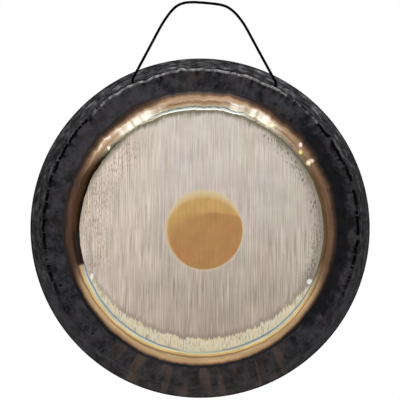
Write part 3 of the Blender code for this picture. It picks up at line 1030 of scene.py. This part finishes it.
def band_tints(f):
    """The band's heat tints, with painted highlight streaks and glints where it catches the light."""
    tone, share, angle = band_parts(f)
    # Painted highlights: pale glare streaks on the band's upper shoulders
    for low, high, outer, inner, seed, most in HIGHLIGHT_STREAKS:
        spots = f.around(15.0, shift=(seed, 0.0, -seed)).ease(0.36, 0.60, 0.20, 1.0)
        streak = angle.arc(low, high, 0.22) * share.window(outer, inner, 0.16) * spots
        tone = f.mixed(streak * most, tone, "glare")
    fringe = share.window(0.775, 0.815, 0.03) * f.turned.turn(20.0, 34.0, 1.0, 0.0)
    tone = f.mixed(fringe * f.around(24.0).ease(0.42, 0.56) * 0.7, tone, "teal")
    lines = f.noise(f.joined(f.across * 4.0, share * 9.0, f.up * 4.0), 1.0, 3.0)
    # Painted shade: the band's outer part is darker low on both sides
    dusk = f.turned.arc(104.0, 148.0, 0.5) * f.share.ease(0.10, 0.48, 1.0, 0.0)
    tone = f.shaded(tone, lines.ease(0.28, 0.72, 0.76, 1.20) * (1.0 - dusk * 0.42))
    ragged = f.patches(260.0).about(0.7)
    for centre, radii, glint in GLINTS:
        away = f.oval(centre, radii) + ragged
        tone = f.mixed(away.ease(0.3, 1.3, 1.0, 0.0), tone, screen_colour(*glint))
    return tone


def scale_tones(f, colours):
    """Black oxide of the flange: soft round patches, faint temper tints, painted shade in the hammer
    hollows and creases, painted shadow in dents beside the bend, and broad brown strokes."""
    # Soft patches, and the hammer marks' ridges lighter than their hollows: partly wear, partly painted
    # shade
    mottle_and_hollow_shade = f.patches(34.0, shift=(3.0, 0.0, 1.0)) * 0.62
    mottle_and_hollow_shade = mottle_and_hollow_shade + f.patches(110.0, 3.0, (8.0, 0.0, 3.0), 0.6) * 0.42 + f.hollow * 0.08
    tone = f.mixed(mottle_and_hollow_shade.ease(0.38, 0.72), colours.scale_dark, colours.scale)
    hued = f.angle.arc(-66.0, 48.0, 0.4) * 0.30 + 0.22
    for tint, scale, seed, start in FLANGE_TINTS:
        spots = f.patches(scale, shift=(seed, seed, 0.0)).ease(start, start + 0.10)
        tone = f.mixed(spots * hued, tone, tint)
    tone = f.mixed(f.angle.arc(-68.0, -24.0, 0.3) * 0.30, tone, "light soot")

    # The right side's inner part is blacker, with a ragged limit
    limit = f.from_bend + f.patches(30.0, 3.0).about(0.030)
    black = f.angle.arc(44.0, 132.0, 0.35) * limit.ease(-0.030, -0.014, 1.0, 0.0)
    tone = f.mixed(black * 0.85, tone, "coal")

    low = f.turned.turn(140.0, 156.0)
    high_right = f.angle.arc(12.0, 33.0, 0.12) * f.from_bend.ease(-0.050, -0.010)
    narrow = f.spokes(44.0, 9.0, 3.0, 3.0).ease(0.40, 0.62, 0.62, 1.0)
    brown = f.spokes(13.0, 8.0).ease(0.47, 0.62) * narrow * (low * 0.85 + high_right * 0.6)
    tone = f.mixed(brown, tone, "stroke brown")
    tone = f.mixed(low * 0.25, tone, "warm soot")

    # Painted shadow: short black dashes as of dents beside the bend, low on both sides
    beside = f.from_bend.window(-0.026, 0.006, 0.008) * f.turned.arc(104.0, 146.0, 0.2)
    dents = f.spokes(46.0, 52.0, 11.0).ease(0.635, 0.69) * beside
    tone = f.mixed(dents * 0.9, tone, "dent_shadow")
    # Painted shade in the creases running down from the bend, darkest at the top
    return f.mixed(f.crease * f.up.ease(-0.5, 0.4, 0.30, 0.92), tone, "crease")


def rim_tones(f, colours):
    """The rim's outer side: smoother black oxide with long streaks that run round it."""
    space = f.joined(f.across * 15.0, f.y * 64.0, f.up * 15.0)
    spots = f.spokes(24.0, 30.0, 5.0).ease(0.40, 0.64, 0.024, -0.032)
    stops = (
        (0.25, "rim black"), (0.34, "rim black"), (0.46, colours.rim), (0.58, "rim grey"),
        (0.70, "rim light"), (0.75, "rim light"),
    )
    tone = f.ramp(f.noise(space, 1.0, 4.0, 0.62) + spots, stops)
    # Painted light: the rim's side is lighter towards the top
    tone = f.shaded(tone, f.up.ease(0.3, 0.95, 1.0, 1.85))
    last = f.y.ease(0.064, 0.068) * f.up.ease(-0.1, 0.2, 1.0, 0.6)
    return f.mixed(last, tone, EDGE_BLACK)


def brushed_metal(f, colours, hue):
    """The brushed disc's metal, with vertical strokes that are faint where the face is calm."""
    # Painted shade: the brushed metal is darker towards the bottom; it is also dimmer on the right and
    # warmer on the left
    tone = f.mixed(f.z.ease(-0.30, 0.14), colours.brushed_low_shade, colours.brushed)
    for share, tint in (
        (f.x.ease(0.05, 0.30, 0.0, 0.35), "dim metal"),
        (f.strokes(34.0, 6.0).ease(0.40, 0.70, 0.0, 0.35), "rosy metal"),
        (hue.ease(0.45, 0.70, 0.0, 0.35), "green metal"),
        (f.x.ease(-0.24, -0.04, 0.55, 0.0), "warm metal"),
    ):
        tone = f.mixed(share, tone, tint)
    stroke = f.strokes(460.0, 9.0, 1.0) * 0.66 + f.strokes(230.0, 12.0, 3.0, 0.6) * 0.34
    calm = f.z.ease(-0.05, 0.10) * f.x.ease(-0.20, -0.08)
    contrast = f.between(calm, 1.0, 0.62) * f.strokes(30.0, 12.0).ease(0.35, 0.65, 0.55, 1.25)
    shade = stroke.ease(0.34, 0.66, -0.28, 0.25) * contrast + 1.0
    return f.shaded(tone, shade * f.patches(16.0, 3.0).ease(0.3, 0.7, 0.93, 1.06))


def brushed_tones(f, sizes, colours):
    """The brushed disc: vertical strokes, ragged ends, the unbrushed crescent under them, paler by a
    painted reflection of the floor, and painted highlights.
    """
    hue = f.strokes(60.0, 8.0, shift=(120.0, 0.0, 40.0))
    tone = brushed_metal(f, colours, hue)

    # Brown dashes where the strokes end: near both sides, and along the bottom
    off_edge = f.past_disc.ease(-0.008, -0.003, 1.0, 0.0)
    left = off_edge * f.past_disc.ease(-0.085, -0.030) * f.angle.arc(-112.0, -36.0, 0.3)
    right = off_edge * f.past_disc.ease(-0.042, -0.016) * f.angle.arc(30.0, 122.0, 0.3)
    shade = f.past_disc.ease(-0.030, -0.002) * f.angle.arc(52.0, 122.0, 0.3)
    tone = f.mixed(shade * 0.55, tone, "side shade")
    edge = left + right + f.z.ease(-0.29, -0.20, 1.0, 0.0) * 0.5
    dashes = f.strokes(470.0, 95.0).ease(0.50, 0.60) * f.patches(26.0).ease(0.30, 0.56, 0.25, 1.0)
    dashes = dashes * edge * f.between(right, 0.70, 0.85)
    tone = f.mixed(dashes, tone, f.mixed(right, "brown dash", "grey dash"))

    # Duller ring inside the top edge
    ragged = f.strokes(300.0, 24.0, 3.0).about(0.012) + f.patches(30.0).about(0.012)
    ring = (f.past_disc + ragged).ease(-0.016, 0.001) * f.up.ease(-0.25, 0.05)
    tone = f.mixed(ring * f.up.ease(0.0, 0.8, 0.35, 1.0) * 0.95, tone, colours.brushed_ring)
    shade = f.past_disc.ease(-0.009, -0.003) * f.up.ease(0.2, 0.6)
    tone = f.mixed(shade * 0.5, tone, "top shade")

    # Cream crescent outside the strokes: an unbrushed zone, its pale colour partly a painted reflection
    # of the floor
    past = f.past_oval(sizes.brush_centre, sizes.brush_radii) + 0.001
    past = past + f.strokes(250.0, 20.0, 3.0).about(0.015) + f.around(16.0).about(0.008)
    below = (f.z - f.x.ease(-0.1, 0.1, -0.103, -0.140)).ease(-0.004, 0.004, 1.0, 0.0)
    dull = past.window(-0.010, 0.0, 0.012) * f.strokes(460.0, 9.0).ease(0.34, 0.62, 0.05, 0.62)
    tone = f.mixed(dull * below, tone, "dull metal")
    marks = f.strokes(300.0, 60.0, 3.0, 0.6).ease(0.46, 0.64, 0.0, 0.8)
    cream = f.mixed(marks, colours.cream, "cream mark")
    cream = f.mixed(hue.ease(0.40, 0.62, 0.0, 0.55), cream, "warm cream")
    crescent = past.ease(-0.0008, 0.0008) * below
    tone = f.mixed(crescent, tone, cream)
    # Painted highlights low on each side of the disc's edge
    for centre, radii in HIGHLIGHT_FLARES:
        flare = f.oval(centre, radii).ease(0.6, 1.3, 1.0, 0.0)
        tone = f.mixed(flare * 0.85, tone, "flare")
    return tone, crescent


def spot_tones(f, sizes, colours, outside):
    """The centre spot: a light upper part, a darker lower one, and a pale edge."""
    out = f.past_oval(sizes.spot_centre, sizes.spot_radii) + f.strokes(300.0, 24.0).about(0.0008)
    ember = f.past_oval(sizes.ember_centre, sizes.ember_radii)
    ember = ember + f.patches(20.0, shift=(0.3, 0.0, 0.1)).about(0.007)
    ember = ember / f.x.ease(-0.055, 0.03, 0.026, 0.003)
    tone = f.mixed(ember.ease(-1.0, 1.0), colours.spot_dark, colours.spot_light)
    gold = f.patches(26.0, shift=(4.0, 0.0, 2.0)).ease(0.42, 0.62, 0.0, 0.45)
    tone = f.mixed(gold * ember.ease(0.0, 1.0), tone, "gold")
    rosy = f.patches(24.0, shift=(7.0, 0.0, 7.0)).ease(0.46, 0.66, 0.0, 0.6)
    tone = f.mixed(rosy * ember.ease(-1.0, 0.0, 1.0, 0.0), tone, "rosy gold")
    clouds = f.patches(34.0, shift=(1.0, 0.0, 8.0)).ease(0.3, 0.7, 0.955, 1.045)
    tone = f.shaded(tone, clouds * f.strokes(460.0, 9.0, 3.0).ease(0.3, 0.7, 0.94, 1.06))
    fade = f.between(f.z.ease(0.010, 0.085), 0.003, 0.027) + f.x.ease(-0.085, -0.02, 0.006, 0.0)
    tone = f.mixed((out / fade).ease(-1.0, 0.0, 0.0, 0.75), tone, colours.halo)
    outside = f.mixed(out.window(-0.0005, 0.0035, 0.005) * 0.30, outside, colours.halo)
    return f.mixed(out.ease(-0.0014, 0.0014), tone, outside)


def crest_masks(f):
    """Bare line along the bend, across the top only, partly worn metal and partly painted highlight,
    and painted shadow in dents beside it, both broken up by the hammering.
    """
    from_bend = f.from_bend + f.around(40.0).about(0.0012)
    sides = f.turned.turn(34.0, 50.0)
    past_start = from_bend - f.between(sides, 0.0016, -0.0070)
    line = past_start.ease(-0.0006, 0.0006) * past_start.ease(0.0062, 0.0090, 1.0, 0.0)
    breaks = f.around(21.0, shift=(4.0, 0.0, 2.0)) * 0.62 + f.around(60.0, shift=(1.0, 0.0, 6.0)) * 0.38
    # Painted shadow in dents beside the bend, except low down
    dark = line * breaks.ease(0.435, 0.475) * f.turned.turn(106.0, 126.0, 1.0, 0.0)

    dashes = f.around(24.0) * 0.6 + f.around(85.0) * 0.4
    # Painted highlight: the bare line is fuller across the top, where the light catches the bend
    level = f.between(f.angle.arc(-34.0, 30.0, 0.2), 0.43, 0.24)
    bare = from_bend.window(-0.0050, 0.0016, 0.0036) * (dashes - level).ease(0.0, 0.12)
    bare = bare * f.around(30.0, 3.0, (9.0, 0.0, 2.0)).ease(0.35, 0.65, 0.35, 1.0)
    return bare * f.angle.arc(-64.0, 60.0, 0.3) * (1.0 - dark * sides), dark


def front_finish(sizes, colours):
    """The front and the rim's outer side."""
    f = SheetFinish("gong_front")
    flange = scale_tones(f, colours)
    low = f.turned.turn(98.0, 122.0) * f.y.ease(0.060, 0.067, 0.95, 0.0)
    rim = f.mixed(low, rim_tones(f, colours), flange)
    tone = f.mixed(f.from_bend.ease(0.0005, 0.0035), flange, rim)
    bare, dark = crest_masks(f)
    # Painted shadow in the dents beside the bend, then the bend's bare line: partly wear, partly
    # painted highlight
    tone = f.mixed(bare, f.mixed(dark, tone, DENT_SHADOW), colours.wear_and_highlight)
    tone = f.mixed(f.share.ease(-0.28, -0.12), tone, band_tints(f))
    disc = f.past_disc.ease(-0.0006, 0.0006, 1.0, 0.0)
    brushed, crescent = brushed_tones(f, sizes, colours)
    tone = f.mixed(disc, tone, spot_tones(f, sizes, colours, brushed))
    beside_disc = f.past_disc.window(-0.0006, 0.0014, 0.0014)
    for start, end, tint, amount in EDGE_LINES:
        tone = f.mixed(beside_disc * f.angle.arc(start, end, 0.08) * amount, tone, tint)

    metal = f.math("MAXIMUM", f.share.ease(-0.12, 0.08), disc)
    metal = f.math("MAXIMUM", metal, bare * 0.8)
    roughness = f.between(f.share.ease(-0.10, 0.10), 0.58, 0.26)
    roughness = f.between(disc, roughness, f.strokes(460.0, 9.0, 3.0).ease(0.3, 0.7, 0.34, 0.44))
    roughness = f.between(disc * crescent, roughness, 0.30)
    roughness = f.between(bare, roughness, 0.36)

    turned = f.noise(f.joined(f.across * 2.0, f.radius * 900.0, f.up * 2.0), 1.0)
    height = f.strokes(700.0, 20.0) * disc * 0.00006 + turned * (1.0 - disc) * 0.00004
    height = height + f.patches(260.0, 3.0) * (1.0 - metal) * 0.0004
    return f.finish(
        height, Base_Color=tone, Metallic=metal, Roughness=roughness, Specular_IOR_Level=0.02
    )


def back_finish(colours):
    """The back: dark oxide with a scraped middle, hammer marks with painted shade in their hollows, and
    faint rings.
    """
    f = SheetFinish("gong_back")
    # Soft patches, and the hammer marks' ridges lighter than their hollows: partly wear, partly painted
    # shade
    mottle_and_hollow_shade = f.hollow * 0.28 + f.patches(30.0, 4.0) - 0.14
    tone = f.mixed(mottle_and_hollow_shade.ease(0.20, 0.66), colours.scale_dark, colours.back)
    scraped = f.past_disc + f.strokes(160.0, 20.0, 3.0).about(0.012)
    disc = scraped.ease(-0.014, -0.006, 1.0, 0.0)
    middle = f.mixed(f.strokes(460.0, 9.0, 4.0).ease(0.3, 0.7), "back brown", colours.back_disc)
    stain = f.patches(12.0, 3.0, (5.0, 5.0, 5.0)).ease(0.45, 0.70, 0.0, 0.6)
    tone = f.mixed(disc, tone, f.mixed(stain, middle, "stain"))
    marks = f.node("ShaderNodeTexVoronoi", {"Vector": f.place, "Scale": 70.0}, "Distance")
    height = marks**2.0 * 0.0009 + f.patches(240.0, 3.0) * 0.00018
    height = height + f.strokes(700.0, 26.0, 3.0) * disc * 0.00006
    roughness = f.between(disc, 0.56, 0.42)
    return f.finish(
        height, Base_Color=tone, Metallic=disc, Roughness=roughness, Specular_IOR_Level=0.06
    )


def edge_finish(colours):
    """The sheet's ground edge at the back of the rim."""
    f = Finish("gong_edge")
    scratches = f.noise(f.vector("MULTIPLY", f.place, (400.0, 1400.0, 400.0)), 1.0, 3.0)
    tone = f.mixed(scratches.ease(0.35, 0.65), "scratch", colours.bare)
    roughness = scratches.ease(0.3, 0.7, 0.36, 0.52)
    return f.finish(scratches * 0.00008, Base_Color=tone, Metallic=1.0, Roughness=roughness)


def cord_finish(colours):
    """Matte black braid: fine fibres in its strands."""
    f = Finish("cord_braid")
    fibres = f.patches(2600.0, 3.0, roughness=0.6)
    shadow = [0.45 * level for level in colours.cord]
    tone = f.mixed(fibres.ease(0.3, 0.7), shadow, colours.cord)
    tone = f.mixed(f.patches(90.0).ease(0.55, 0.75, 0.0, 0.25), tone, "worn cord")
    roughness = fibres.ease(0.3, 0.7, 0.70, 0.88)
    return f.finish(fibres * 0.00008, Base_Color=tone, Roughness=roughness, Specular_IOR_Level=0.01)


# Stage


def make_camera(sizes):
    """A camera where the photograph was taken from: a little left of the gong's axis and below it.
    It is turned so that the rim's back edge lies where the photograph has it, in pixels."""
    camera = add_piece("camera", bpy.data.cameras.new("camera"))
    back = gong_centre(sizes) + Vector((0.0, sizes.rim_depth, 0.0))
    camera.location = (-CAMERA_LEFT, -CAMERA_DISTANCE, back.z - CAMERA_BELOW)
    to_back = back - camera.location
    pitch = math.atan2(to_back.z, to_back.y) + math.atan(OUTLINE_BELOW * PIXEL / CAMERA_DISTANCE)
    yaw = math.atan2(to_back.x, to_back.y) - math.atan(OUTLINE_RIGHT * PIXEL / CAMERA_DISTANCE)
    camera.rotation_euler = (math.pi / 2 + pitch, 0.0, -yaw)
    camera.data.sensor_width = 36.0
    camera.data.lens = camera.data.sensor_width * CAMERA_DISTANCE / (PICTURE_SIDE * PIXEL)
    camera.data.clip_end = 100.0
    bpy.context.scene.camera = camera


def seen_rays(f):
    """1 for what the camera sees, straight or by reflection or through glass."""
    seen = f.node("ShaderNodeLightPath", {}, "Is Camera Ray")
    for kind in ("Is Glossy Ray", "Is Transmission Ray"):
        seen = f.math("MAXIMUM", seen, f.node("ShaderNodeLightPath", {}, kind))
    return seen


def floor_finish(colours):
    """Pale floor that keeps the shadow and runs out into the white ground."""
    f = Finish("floor")
    grain = f.patches(40.0, 4.0)
    tone = f.shaded(colours.floor, grain.ease(0.3, 0.7, 0.985, 1.0))
    f.finish(Base_Color=tone, Roughness=0.8, Specular_IOR_Level=0.2)
    x, y, _ = f.split(f.place)
    far = f.math("SQRT", x**2.0 + y**2.0).ease(0.9, 2.3) * seen_rays(f)
    pale = Value(f, f.shader.outputs[0])
    surface = f.node("ShaderNodeMixShader", {0: far, 1: pale, 2: f.node("ShaderNodeEmission", {})})
    f.feed(f.nodes["Material Output"].inputs[0], surface)
    return f.material


class WorldNodes(Finish):
    """The world's nodes, with the same short ways."""

    def __init__(self, world):
        world.use_nodes = True
        self.nodes = world.node_tree.nodes
        self.links = world.node_tree.links


def make_world():
    """White where it is seen, and a plain soft light on everything else."""
    world = bpy.data.worlds.new("studio")
    bpy.context.scene.world = world
    f = WorldNodes(world)
    ground = f.nodes["Background"].inputs
    ground["Color"].default_value = (1.0, 1.0, 1.0, 1.0)
    f.feed(ground["Strength"], f.between(seen_rays(f), 0.62, 1.0))


def add_lamp(name, target):
    """A soft rectangular lamp that shines on the target and isn't seen itself."""
    data = bpy.data.lights.new(name, "AREA")
    data.shape = "RECTANGLE"
    spot, data.size, data.size_y, data.energy = LAMPS[name]
    lamp = add_piece(name, data)
    lamp.location = spot
    lamp.rotation_euler = (target - lamp.location).to_track_quat("-Z", "Y").to_euler()
    lamp.visible_camera = False


class GONG_OT_stage(bpy.types.Operator):
    """Make the camera, the soft light and the pale floor"""

    bl_idname = "gong.stage"
    bl_label = "Stage"

    def execute(self, context):
        scene = context.scene
        sizes, colours = scene.gong_sizes, scene.gong_colours
        scene.view_settings.view_transform = "Standard"
        make_camera(sizes)
        make_world()

        for name in LAMPS:
            add_lamp(name, gong_centre(sizes))
        mesh = built_mesh("floor", bmesh.ops.create_circle, segments=96, radius=FLOOR_RADIUS)
        floor = add_piece("floor", mesh)
        floor.location.z = FLOOR_LEVEL
        mesh.materials.append(floor_finish(colours))
        return {"FINISHED"}


class GONG_OT_knots(bpy.types.Operator):
    """Make the two stopper knots inside the rim"""

    bl_idname = "gong.knots"
    bl_label = "Knots"

    def execute(self, context):
        sizes, colours = context.scene.gong_sizes, context.scene.gong_colours
        material = cord_finish(colours)
        for name, node, turn, side in (
            ("knot_left", "left_knot", sizes.left_hole, 1.0),
            ("knot_right", "right_knot", sizes.right_hole, -1.0),
        ):
            knot = braided_tube(name, sizes, knot_route(sizes, turn, side), ("round", "sealed"))
            knot.data.materials.append(material)
            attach(knot, "gong")
            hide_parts(node)
        return {"FINISHED"}


class GONG_OT_cord(bpy.types.Operator):
    """Make the cord from hole to hole over its support"""

    bl_idname = "gong.cord"
    bl_label = "Cord"

    def execute(self, context):
        sizes = context.scene.gong_sizes
        knots = [bpy.data.objects.get(name) for name in ("knot_left", "knot_right")]
        if None in knots:
            raise RuntimeError("make the knots before the cord")
        route = cord_route(sizes)
        cord = braided_tube("cord", sizes, route, ("round", "round"))
        cord.data.materials.append(knots[0].data.materials[0])
        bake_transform(cord)
        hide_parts("cord_bight", "cord_left_leg", "cord_right_leg")
        return {"FINISHED"}


class GONG_OT_sheet(bpy.types.Operator):
    """Make the hammered sheet with its finish and its two holes"""

    bl_idname = "gong.sheet"
    bl_label = "Sheet"

    def execute(self, context):
        sizes, colours = context.scene.gong_sizes, context.scene.gong_colours
        mesh = sheet_mesh(sizes)
        outward(mesh)
        sheet = add_piece("gong_sheet", mesh)
        sheet.location = gong_centre(sizes)
        for material in (front_finish(sizes, colours), back_finish(colours), edge_finish(colours)):
            mesh.materials.append(material)
        pierce(sheet, sizes)
        sheet.data.shade_smooth()
        sheet.data.set_sharp_from_angle(angle=math.radians(38.0))
        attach(sheet, "gong")
        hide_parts("gong_plate")
        return {"FINISHED"}


STEPS = (GONG_OT_stage, GONG_OT_knots, GONG_OT_cord, GONG_OT_sheet)


class GONG_PT_panel(bpy.types.Panel):
    """Steps that make the gong"""

    bl_label = "Symphonic Gong"
    bl_idname = "GONG_PT_panel"
    bl_space_type = "VIEW_3D"
    bl_region_type = "UI"
    bl_category = "Gong"

    def draw(self, context):
        for step in STEPS:
            self.layout.operator(step.bl_idname)


CLASSES = (GongSizes, GongColours, *STEPS, GONG_PT_panel)


def register():
    for item in CLASSES:
        bpy.utils.register_class(item)
    bpy.types.Scene.gong_sizes = PointerProperty(type=GongSizes)
    bpy.types.Scene.gong_colours = PointerProperty(type=GongColours)


def unregister():
    del bpy.types.Scene.gong_sizes
    del bpy.types.Scene.gong_colours
    for item in reversed(CLASSES):
        bpy.utils.unregister_class(item)


def main():
    register()
    bpy.ops.gong.stage()
    bpy.ops.gong.knots()
    bpy.ops.gong.cord()
    bpy.ops.gong.sheet()


if __name__ == "__main__":
    main()
